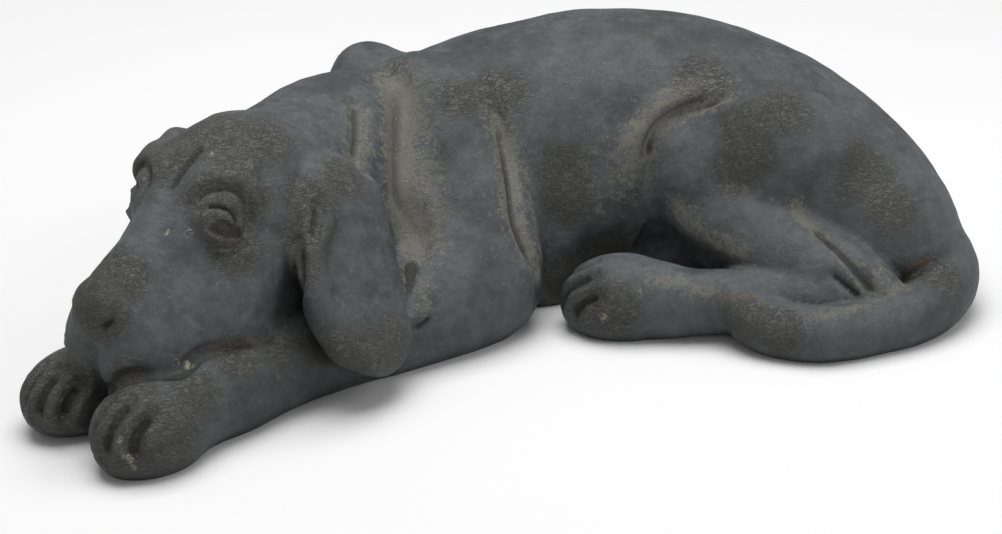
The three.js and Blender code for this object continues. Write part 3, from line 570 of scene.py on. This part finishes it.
# What lies on the skin, in own units: patches of carved coat x, y, z, radius; lines of dust, of rust
# and between the lips with their half width and strength; whisker lines; chips x, y, z, radius.
finish = {
    "coat": [(*inHead(-0.4, 6.2, 0.2), 3.6), (*inHead(-0.4, -6.2, 0.2), 3.6),
             (*inHead(0.8, 6.6, -4.2), 2.2), (-35.9, -2.8, 24.5, 4.5), (-32, -3.5, 25.5, 4),
             (-27.5, -4.8, 25, 3.5), (-31, -9, 23.3, 3), (-34.3, -9.5, 22.3, 2.6),
             (-29.8, -10.5, 21.3, 2.4), (-33, -12.3, 16.6, 2.2), (-45, -11.5, 16.8, 3.4),
             (-43, -13, 16.6, 2.4), (-46.3, -15, 13.8, 2.6), (-47.4, -12.5, 15, 3), (-46.5, -21.5, 5, 5),
             (-43, -22.5, 4.6, 4.5), (-45, -19, 7.5, 3.5), (-50, -11, 5, 5), (-39, -19.5, 7, 3),
             (-33.6, -16.3, 7.9, 2.4), (-29.3, -15, 7.4, 2.4), (-25, -14.4, 6.6, 2.6),
             (-24, -9.3, 19.9, 2.8), (-25.2, -11.5, 17.5, 2.8), (-26, -13.3, 14, 2.2),
             (-21.6, -17.6, 6.6, 3.2), (-24, -17.1, 7.4, 2.6), (-18, -15.8, 6.2, 3), (-20, -7, 21, 2.6),
             (6.9, -0.3, 15.4, 2.9), (6.9, -0.9, 12, 2.9), (1.5, 5.6, 22.8, 3.4), (-3, 5.4, 22.5, 2.6),
             (22.5, -1, 23.4, 3.4), (24, -8, 20, 3.4), (24, -9.4, 17.6, 3), (22.4, -8.6, 15.6, 2.6),
             (27.5, -8.8, 22, 3), (35.8, -13.4, 15.5, 3.6), (37, -16.5, 12.4, 3.2),
             (5.5, -10.8, 4.5, 3.2), (7, -12.2, 4, 3), (17.5, -20, 3.6, 3), (21, -22.5, 3.4, 2.6),
             (40.5, -20.5, 4, 3.2), (-8, 24, 14, 4.5), (10, 22, 19, 4), (14, 23, 15, 4.5),
             (30, 14, 17, 4), (34, 11, 13, 4.5), (-25, 8, 14, 4.5), (-21, 10, 18, 3), (41, -1, 15, 4),
             (-18, 12, 22, 3), (23, 20, 8, 4)],
    "dust": [(lines["shoulder"], 2.8, 1.25), (lines["neck"], 2.2, 0.9), (lines["elbow"], 1.8, 1.2),
             (lines["flank"], 2.2, 0.95), (lines["thigh"], 1.6, 0.9), (lines["ham"], 1.2, 1.0),
             (lines["hock"], 0.6, 0.7), (lines["earBack"], 1.2, 0.8),
             ([(-9, 8.5, 21.5), (-8, 3.4, 18), (-8.2, -0.4, 14.2), (-9.6, -4, 10.6),
               (-11, -8, 8.6)], 2.0, 0.8),
             ([(2.6, 4, 20), (2.2, 0, 14), (1.4, -3.4, 8), (3, -2.6, 4)], 1.3, 0.6),
             ([(0.6, -5, 2), (4.1, -1.7, 2.8), (7.5, -1.7, 3.6), (12.7, -2, 6.2),
               (14.5, -2.4, 9)], 2.4, 0.8),
             ([(10.5, -1, 20), (9.8, -1, 14), (11, -1.4, 9)], 1.6, 0.45),
             ([(15.6, -4, 13.6), (17.4, -6.4, 11.3), (18.9, -9.3, 9.7), (21, -12.3, 8.5),
               (23, -14.6, 7.8)], 1.5, 0.85),
             ([(41.5, -19.8, 7.4), (38.4, -19.4, 6.2), (35, -21, 5.4), (30, -22.8, 5.2),
               (25, -23.3, 4.9), (20, -20.9, 4.4)], 1.0, 0.8),
             ([(9.8, -13, 5.8), (12.5, -12.6, 6.6), (15.7, -14.8, 6), (17.5, -16.6, 5)], 1.1, 0.75),
             ([(30, -19.6, 6.4), (33, -20.4, 6), (36, -18.4, 7)], 1.6, 0.7),
             ([(-14.6, -12.6, 7.4), (-12.2, -9.8, 8.6), (-13.8, -12.6, 5.6)], 1.5, 0.6),
             ([(-47.4, -21.6, 5.4), (-46.4, -22.9, 2.4)], 0.35, 0.8),
             ([(-44, -21, 7.2), (-45.2, -22.8, 4.6)], 0.3, 0.5),
             ([(-6, 21, 22), (-8, 25.5, 16), (-9, 26, 8)], 2.0, 0.5),
             ([(28, 12, 20), (30, 17, 12)], 2.4, 0.4)],
    "lips": (lines["mouth"], 0.7, 1.3),
    "rust": [(lines["mouth"], 0.62, 1.0), ([(37.6, -19.2, 6.3), (41, -19.6, 7.2)], 0.5, 0.9),
             ([(15.2, -14.2, 6), (19, -17.2, 5), (22, -19, 4.6)], 0.45, 0.8),
             (eyeArc(1, (2.2, 1.5, -160, 10), 1.5), 0.3, 0.8),
             (eyeArc(-1, (2.2, 1.5, -160, 10), 1.5), 0.3, 0.8)],
    "whiskers": [(inHead(15.6, 1.8 * side, -3.6 - k), inHead(15.5, 3.8 * side, -4.5 - k),
                  inHead(14.4, 5.4 * side, -5.4 - 1.1 * k))
                 for k in (0, 0.9, 1.8, 2.7) for side in (1, -1)],
    "chips": [(-39.6, -16.2, 8.6, 0.45), (-38.3, -15.5, 7.6, 0.5), (-47.0, -22.5, 4.9, 0.35),
              (-46.1, -22.7, 3.0, 0.5), (-45.9, -22.9, 2.0, 0.35), (6.1, -12.2, 3.2, 0.5),
              (9.8, -13.0, 5.8, 0.35), (-38.6, -10.3, 19.4, 0.35), (-36.5, -10.7, 19.1, 0.35),
              (-33.5, -5.0, 25.1, 0.4), (-32.6, -6.2, 24.8, 0.3), (-3.6, -9.8, 3.6, 0.35)],
    "hollows": 0.12,       # unevenness of the hand-finished surface, own units
    "crinkle": 0.10,       # depth of the carved coat
    "groove": 0.22,        # how much deeper the carved lines are than in the solid
    "whiskerDepth": 0.10,
    "chipDepth": 0.12,
}


def ridged(p, seed):
    # 1 in thin creases where a warped noise crosses zero, drawn out along the body
    bent = p + 0.6 * np.stack([noise(p, 1.9, seed + k) for k in range(3)], axis=1)
    return 1 - np.abs(noise(bent * (0.6, 1, 1.2), 0.85, seed + 5)) * 2.6


def along(p, marks):
    # the strongest of several soft lines, each a bell curve of the distance from its curve
    return np.max([stroke(*mark)(p) for mark in marks], axis=0)


def darkLine(p):
    # 1 at the bottom of the carved lines and between the lips
    return np.maximum(inGroove(p), smooth(along(p, [finish["lips"]]), 0.64, 0.77))


def chipped(p, place, edge):
    # 1 inside a ragged round spot, falling to 0 at its edge
    away = length(p - place[:3]) / place[3] + 0.5 * noise(p, 0.4, 9)
    return 1 - smooth(away, 0.6, edge)


def relief(p):
    # height over the skin: broad hollows, the carved coat where the mesh is fine, whiskers and chips
    coat = smooth(spots(p, finish["coat"]) + 0.25 * noise(p, 2, 6), 0.3, 0.8)
    fine = 1 - smooth(spacing(p), 0.38, 0.62)
    height = finish["hollows"] * (noise(p, 5.5, 1) + 0.5 * noise(p, 2.4, 2) + 0.3 * noise(p, 1.2, 3))
    height -= finish["crinkle"] * np.maximum(ridged(p, 4), 0) * coat * (0.35 + 0.65 * fine)
    height -= finish["groove"] * darkLine(p)
    height -= finish["whiskerDepth"] * along(p, [(way, 0.22, 1) for way in finish["whiskers"]])
    for place in finish["chips"]:
        height -= finish["chipDepth"] * chipped(p, place, 1.2)
    return height


height = relief(points)
inner, rim = onGround(points, faces)
bare = points.copy()
points = points + normals * height[:, None]
points = np.clip(points, bodyLow + 0.005, bodyHigh - 0.005)
points[inner | rim, 2] = 0
here = body["distance"](bare)


def shelter(reach):
    # how far the surroundings close in on a point: the masses should be "reach" further off at that
    # height
    return np.clip(1 - (body["distance"](bare + normals * reach) - here) / reach, 0, 1)


def thinness(reach):
    # how much of an edge a point stands on: the masses should be "reach" deeper at that depth
    return np.clip(1 + (body["distance"](bare - normals * reach) - here) / reach, 0, 1)


layers = {
    # crease, shelter and groove set where shade is painted into the colour; shelter also brings dust into
    # the hollows
    "crease": np.maximum(shelter(0.6), shelter(1.4)),
    "shelter": shelter(4.0),
    "groove": darkLine(bare),
    # edge: how convex the skin is, which paints a highlight of paler grains on the edges
    "edge": thinness(1.3),
    "coat": smooth(spots(points, finish["coat"]), 0.0, 0.9),
    "dust": along(points, finish["dust"]),
    "rust": along(points, finish["rust"]),
    "chip": np.max([chipped(points, place, 1.25) for place in finish["chips"]], axis=0),
    "eyes": 1 - smooth(eyeballs["distance"](bare), 0.12, 0.36),
    "noseTip": spots(points, [(*inHead(13.9, 0, -1.6), 3.0)]),
}
print("layers", {name: round(float(values.max()), 2) for name, values in layers.items()})


def meshObject(name, points, faces, layers, material):
    mesh = bpy.data.meshes.new(name)
    mesh.vertices.add(len(points))
    mesh.vertices.foreach_set("co", points.astype(np.float32).ravel())
    mesh.loops.add(faces.size)
    mesh.loops.foreach_set("vertex_index", faces.astype(np.int32).ravel())
    mesh.polygons.add(len(faces))
    mesh.polygons.foreach_set("loop_start", np.arange(0, faces.size, faces.shape[1], dtype=np.int32))
    mesh.polygons.foreach_set("loop_total", np.full(len(faces), faces.shape[1], np.int32))
    mesh.update(calc_edges=True)
    mesh.shade_smooth()
    for layerName, values in layers.items():
        attribute = mesh.attributes.new(layerName, "FLOAT", "POINT")
        attribute.data.foreach_set("value", values.astype(np.float32))
    mesh.materials.append(material)
    piece = bpy.data.objects.new(name, mesh)
    bpy.context.scene.collection.objects.link(piece)
    return piece


class Net:
    # short ways to add the nodes of one material and link them
    def __init__(self, tree):
        self.nodes, self.links = tree.nodes, tree.links
        self.shader = tree.nodes["Principled BSDF"]

    def feed(self, name, value):
        self.links.new(value, self.shader.inputs[name])

    def put(self, kind, values=None, **settings):
        node = self.nodes.new(kind)
        for key, value in settings.items():
            setattr(node, key, value)
        for key, value in (values or {}).items():
            if isinstance(value, bpy.types.NodeSocket):
                self.links.new(value, node.inputs[key])
            else:
                node.inputs[key].default_value = value
        return node

    def math(self, operation, *values, clamp=False):
        node = self.put("ShaderNodeMath", dict(enumerate(values)), operation=operation, use_clamp=clamp)
        return node.outputs[0]

    def add(self, *values):
        return self.math("ADD", *values)

    def times(self, *values):
        return self.math("MULTIPLY", *values)

    def layer(self, name):
        return self.put("ShaderNodeAttribute", attribute_name=name).outputs["Fac"]

    def grain(self, place, scale, detail=4, rough=0.55, warp=0.0):
        return self.put("ShaderNodeTexNoise", {"Vector": place, "Scale": scale, "Detail": detail,
                                               "Roughness": rough, "Distortion": warp}).outputs["Fac"]

    def between(self, value, low, high):
        # 0 below low, 1 above high and an even curve between
        return self.put("ShaderNodeMapRange", {"Value": value, "From Min": low, "From Max": high},
                        interpolation_type="SMOOTHSTEP").outputs["Result"]

    def spread(self, value, low, high, first, last):
        # a straight line from first at low to last at high
        return self.put("ShaderNodeMapRange", {"Value": value, "From Min": low, "From Max": high,
                                               "To Min": first, "To Max": last}).outputs["Result"]

    def mix(self, share, first, second, blend="MIX"):
        node = self.nodes.new("ShaderNodeMix")
        node.data_type, node.blend_type = "RGBA", blend
        for socket, value in ((node.inputs[0], share), (node.inputs[6], first), (node.inputs[7], second)):
            if isinstance(value, bpy.types.NodeSocket):
                self.links.new(value, socket)
            else:
                socket.default_value = (*value, 1) if isinstance(value, tuple) else value
        return node.outputs[2]


def newMaterial(name):
    material = bpy.data.materials.new(name)
    material.use_nodes = True
    return material, Net(material.node_tree)


stone = {
    "dark": (0.047, 0.051, 0.053),      # slate, where it is darkest
    "pale": (0.094, 0.104, 0.112),      # slate, bluest and palest
    "coat": (0.084, 0.083, 0.073),      # brown patina of the carved coat
    "dusty": (0.175, 0.168, 0.140),     # dust settled in the folds
    "cream": (0.500, 0.460, 0.360),     # bare chips
    "rust": (0.150, 0.072, 0.050),
    "paintedShade": (0.012, 0.012, 0.011),      # painted shade inside the creases and hollows
    "iris": (0.036, 0.030, 0.022),
    "nose": (0.046, 0.045, 0.039),
    "shares": {                         # how much of each colour shows where it is strongest
        "coat": 0.66, "saltAndHighlight": 0.25, "dusty": 0.72, "iris": 0.85, "nose": 0.7, "paintedShade": 0.78,
        "rust": 0.6, "speck": 0.5,
    },
    "scales": {                         # how fine each noise is, per metre
        "cloud": 8, "patch": 34, "mottle": 100, "fine": 190, "hair": 290, "speck": 620,
    },
    "mottled": (0.78, 1.2),             # darkest and palest of the fine mottle
    "groundShade": 0.75,                    # how dark the painted shade makes the stone at the ground
    "groundShadeTop": 0.055,                  # m, height where the painted shade near the ground ends
    "rough": (0.52, 0.74),
    "dustRough": 0.22,                  # how much rougher the dust is
    "gloss": 0.32,
    "grain": 0.0015,                    # m, depth of the fine relief
}


def castStone():
    material, net = newMaterial("cast stone")
    shares, scales = stone["shares"], stone["scales"]
    place = net.put("ShaderNodeTexCoord").outputs["Object"]
    cloud = net.grain(place, scales["cloud"], 5, 0.6)
    patch = net.grain(place, scales["patch"], 6, 0.62)
    fine = net.grain(place, scales["fine"], 5, 0.65)
    speck = net.grain(place, scales["speck"], 3, 0.6)
    blotch = net.add(net.times(cloud, 0.5), net.times(patch, 0.5))
    colour = net.mix(net.between(blotch, 0.38, 0.60), stone["dark"], stone["pale"])
    mottle = net.spread(net.grain(place, scales["mottle"], 6, 0.7, 0.6), 0.35, 0.65, *stone["mottled"])
    colour = net.mix(1.0, colour, mottle, "MULTIPLY")
    # the carved coat: brown, with short wavy creases painted dark as shade inside them
    stretch = {"Vector": place, "Scale": (0.55, 1.0, 1.25)}
    stretched = net.put("ShaderNodeMapping", stretch).outputs["Vector"]
    hair = net.grain(stretched, scales["hair"], 3, 0.5, 1.6)
    away = net.math("ABSOLUTE", net.math("SUBTRACT", hair, 0.5))
    crinkle = net.math("SUBTRACT", 1.0, net.between(away, 0.0, 0.1))
    ragged = net.math("SUBTRACT", net.add(net.times(patch, 1.7), cloud), 1.35)
    coatShare = net.between(net.add(net.layer("coat"), ragged), -0.15, 0.95)
    colour = net.mix(net.times(coatShare, shares["coat"]), colour, stone["coat"])
    coatCreaseShade = net.times(crinkle, net.add(0.06, net.times(coatShare, 0.34)))
    colour = net.mix(coatCreaseShade, colour, stone["paintedShade"])
    # a fine salt of paler grains, and a painted highlight: more of the paler grains on the convex edges
    saltAndHighlight = net.between(net.add(fine, net.times(net.layer("edge"), 0.12)), 0.50, 0.75)
    colour = net.mix(net.times(saltAndHighlight, shares["saltAndHighlight"]), colour, stone["dusty"])
    # speckled dust in the folds
    settled = net.add(net.layer("dust"), net.times(net.layer("shelter"), 0.12))
    grains = net.add(net.times(fine, 1.1), net.times(speck, 0.9))
    uneven = net.math("SUBTRACT", net.times(grains, 1.5), 1.5)
    dustShare = net.between(net.add(net.times(settled, 0.74), uneven), 0.22, 0.72)
    colour = net.mix(net.times(dustShare, shares["dusty"]), colour, stone["dusty"])
    # dark eyes and nose, painted shade in the creases, hollows and carved lines, rust in the cracks,
    # specks and chips
    colour = net.mix(net.times(net.layer("eyes"), shares["iris"]), colour, stone["iris"])
    colour = net.mix(net.times(net.layer("noseTip"), shares["nose"]), colour, stone["nose"])
    # painted shade: sheltered hollows, creases and the bottoms of the carved lines and lips are darkened
    # toward near black
    deepHollowShade = net.times(net.between(net.layer("shelter"), 0.55, 1.0), 0.8)
    paintedHollowShade = net.math("MAXIMUM", net.between(net.layer("crease"), 0.4, 1.0), net.layer("groove"))
    paintedHollowShade = net.math("MAXIMUM", paintedHollowShade, deepHollowShade)
    colour = net.mix(net.times(paintedHollowShade, shares["paintedShade"]), colour, stone["paintedShade"])
    rusted = net.times(net.between(net.layer("rust"), 0.25, 0.75), net.between(patch, 0.42, 0.60))
    colour = net.mix(net.times(rusted, shares["rust"]), colour, stone["rust"])
    bright = net.add(speck, net.times(net.layer("dust"), 0.06))
    colour = net.mix(net.times(net.between(bright, 0.705, 0.76), shares["speck"]), colour, stone["cream"])
    chip = net.times(net.layer("chip"), net.between(fine, 0.40, 0.55))
    colour = net.mix(chip, colour, stone["cream"])
    # painted shade: the stone is darker toward the ground
    above = net.put("ShaderNodeSeparateXYZ", {"Vector": place}).outputs["Z"]
    shadeHeight = net.add(net.times(patch, 0.02), net.math("SUBTRACT", above, 0.01))
    shade = net.spread(shadeHeight, 0.0, stone["groundShadeTop"], stone["groundShade"], 1.0)
    net.feed("Base Color", net.mix(1.0, colour, shade, "MULTIPLY"))
    rough = net.spread(fine, 0.3, 0.7, *stone["rough"])
    net.feed("Roughness", net.math("ADD", rough, net.times(dustShare, stone["dustRough"]), clamp=True))
    net.shader.inputs["Specular IOR Level"].default_value = stone["gloss"]
    raised = net.add(net.times(fine, 0.5), net.times(speck, 0.2))
    raised = net.math("SUBTRACT", raised, net.times(crinkle, net.times(coatShare, 0.40)))
    bump = net.put("ShaderNodeBump", {"Height": raised, "Distance": stone["grain"], "Strength": 0.9})
    net.feed("Normal", bump.outputs["Normal"])
    return material


statue = meshObject("lying_dog_stone", (points - bodyLow) * unit + lowCorner, faces, layers, castStone())
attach(statue, "root")
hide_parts("lying_dog")
print("statue made")

studio = {
    "camera": (-81.530, -200.820, 101.497),  # both in the body's own units
    "target": (-5.4815, -12.5926, 11.1111),
    "lens": 80.0,
    "floor": 0.80,                           # how pale the floor is
    "reach": 6.0,                            # m, half its width
    "sky": 0.30,
    "lamps": {  # place, size and watts
        "overhead softbox": ((0.0, 0.2, 2.3), 2.0, 58),
        "side softbox": ((1.8, -1.1, 1.4), 1.3, 11),
        "front softbox": ((-0.6, -2.0, 1.2), 1.2, 2),
    },
}


def floorPlane():
    material, net = newMaterial("studio floor")
    place = net.put("ShaderNodeTexCoord").outputs["Object"]
    pale = (studio["floor"],) * 3
    net.feed("Base Color", net.mix(net.grain(place, 3, 2), tuple(0.98 * value for value in pale), pale))
    net.shader.inputs["Roughness"].default_value = 0.9
    corners = studio["reach"] * np.array([(-1, -1, 0), (1, -1, 0), (1, 1, 0), (-1, 1, 0)], float)
    meshObject("studio_floor", corners, np.array([[0, 1, 2, 3]]), {}, material)


def aim(thing, at, toward):
    thing.location = at
    thing.rotation_euler = (Vector(toward) - Vector(at)).to_track_quat("-Z", "Y").to_euler()
    bpy.context.scene.collection.objects.link(thing)


floorPlane()
for name, (at, wide, watts) in studio["lamps"].items():
    lamp = bpy.data.lights.new(name, "AREA")
    lamp.shape, lamp.size, lamp.energy = "SQUARE", wide, watts
    aim(bpy.data.objects.new(name, lamp), at, (0, 0, 0.05))
world = bpy.data.worlds.new("studio")
world.use_nodes = True
world.node_tree.nodes["Background"].inputs["Color"].default_value = (1, 1, 1, 1)
world.node_tree.nodes["Background"].inputs["Strength"].default_value = studio["sky"]
bpy.context.scene.world = world
bpy.context.scene.view_settings.view_transform = "Standard"  # a white floor stays white

camera = bpy.data.objects.new("camera", bpy.data.cameras.new("camera"))
camera.data.lens, camera.data.sensor_width = studio["lens"], 36
stands, looks = ((np.array(studio[key]) - bodyLow) * unit + lowCorner for key in ("camera", "target"))
aim(camera, stands, looks)
bpy.context.scene.camera = camera
print("studio made")
